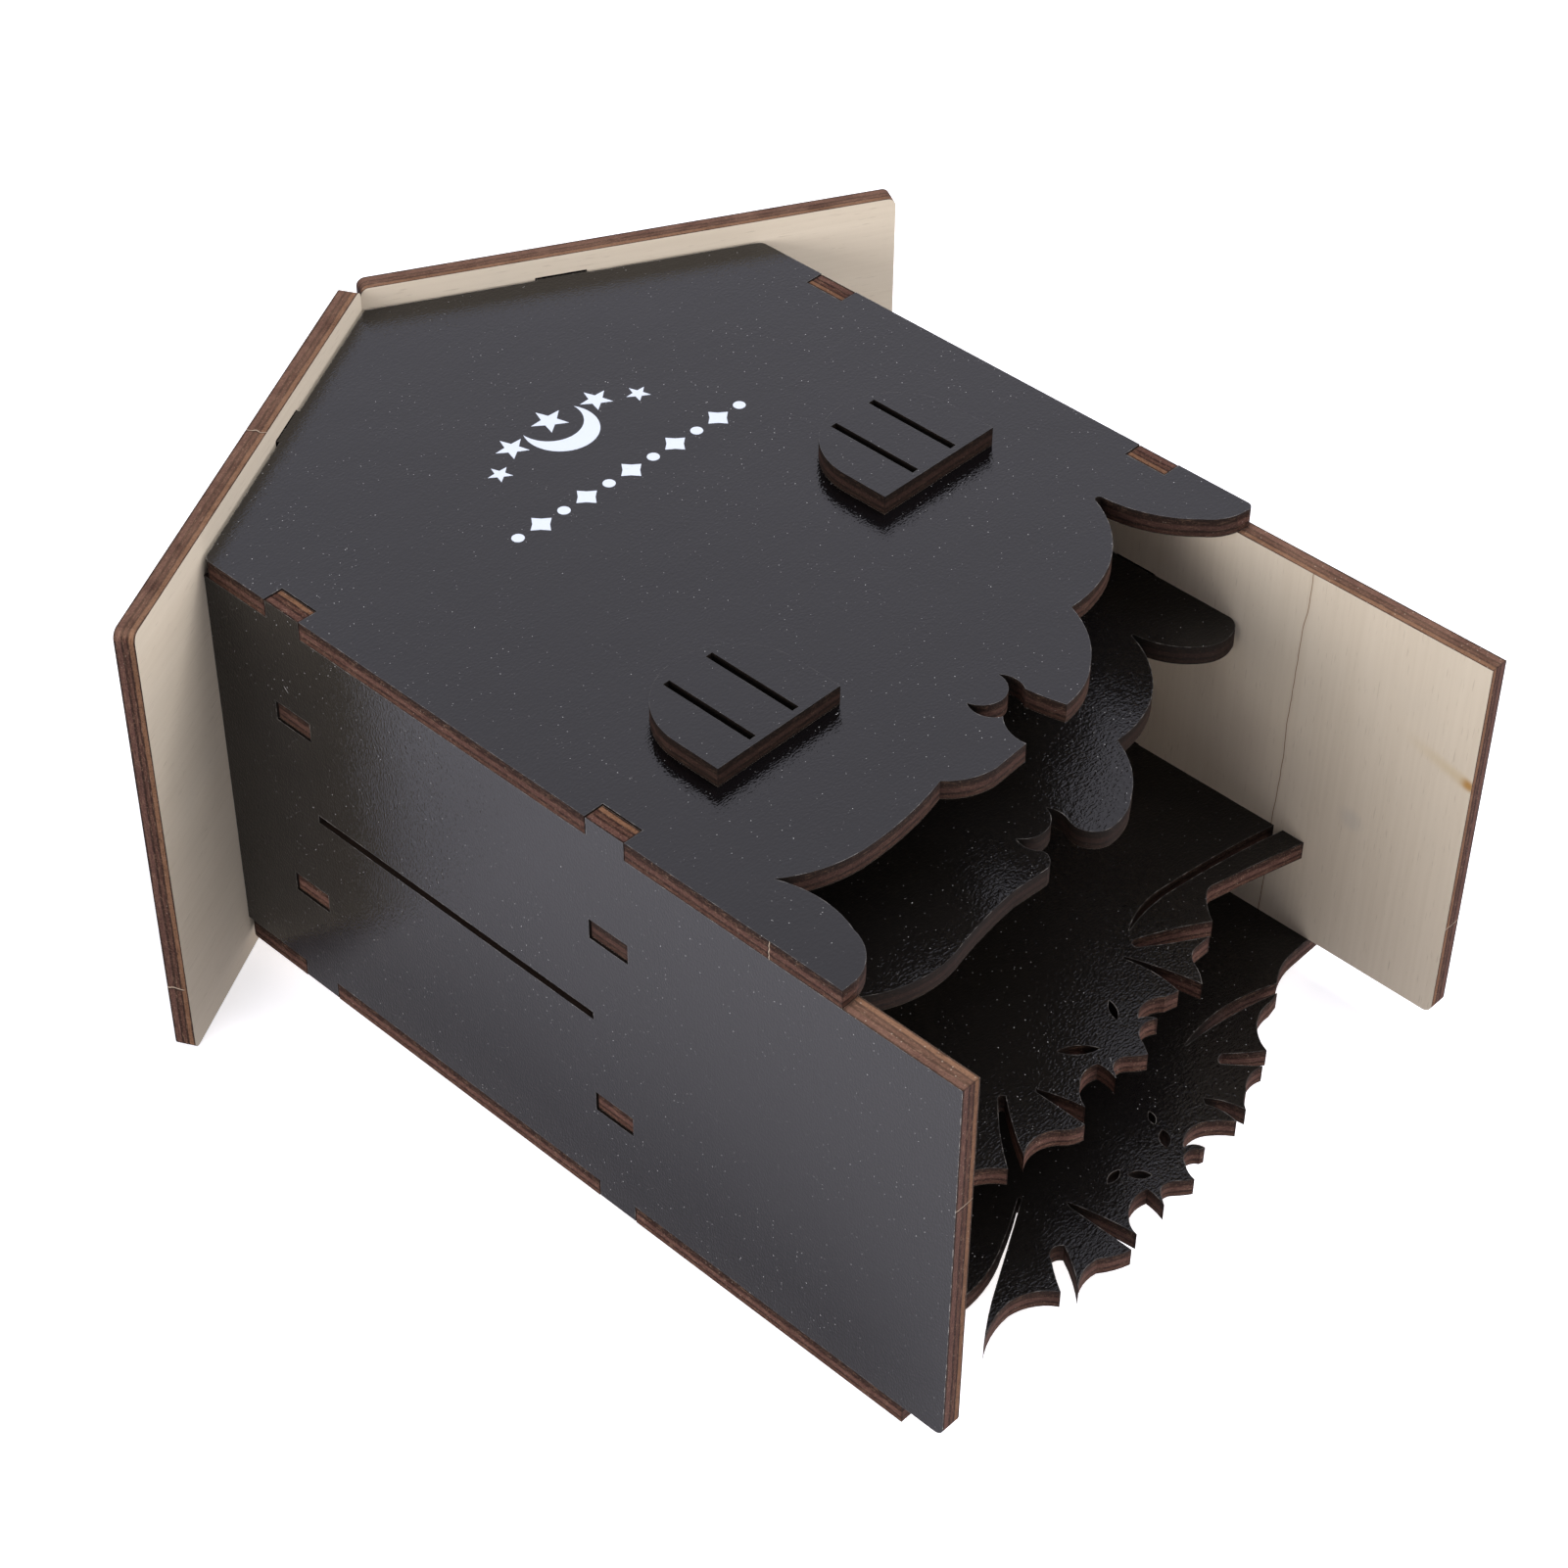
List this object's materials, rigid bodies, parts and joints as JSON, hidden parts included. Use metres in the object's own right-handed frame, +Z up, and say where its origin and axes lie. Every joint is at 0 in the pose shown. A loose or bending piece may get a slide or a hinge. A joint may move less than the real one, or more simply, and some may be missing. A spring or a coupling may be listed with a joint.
{
  "type": "bat box",
  "caption": "Wall-hung bat roost box of thin slotted plywood panels, with a gable roof, inner baffles, bat-wing lower edges and small arched windows.",
  "frame": {"origin": "middle of the part's bounding box, at the height of the side walls' feet", "axes": "+Z up to the ridge, the front faces -Y, +X to the right as seen from the front"},
  "size_m": [0.2432, 0.1254, 0.2752],
  "materials": {
    "black_plywood": "thin plywood, satin black print on the outer face, bare inner face and burnt edges"
  },
  "bodies": {
    "root": {"front_panel": "black_plywood", "back_panel": "black_plywood", "left_side": "black_plywood", "right_side": "black_plywood", "front_baffle": "black_plywood", "rear_baffle": "black_plywood", "roof_left": "black_plywood", "roof_right": "black_plywood", "left_window": "black_plywood", "right_window": "black_plywood"}
  },
  "joints": []
}
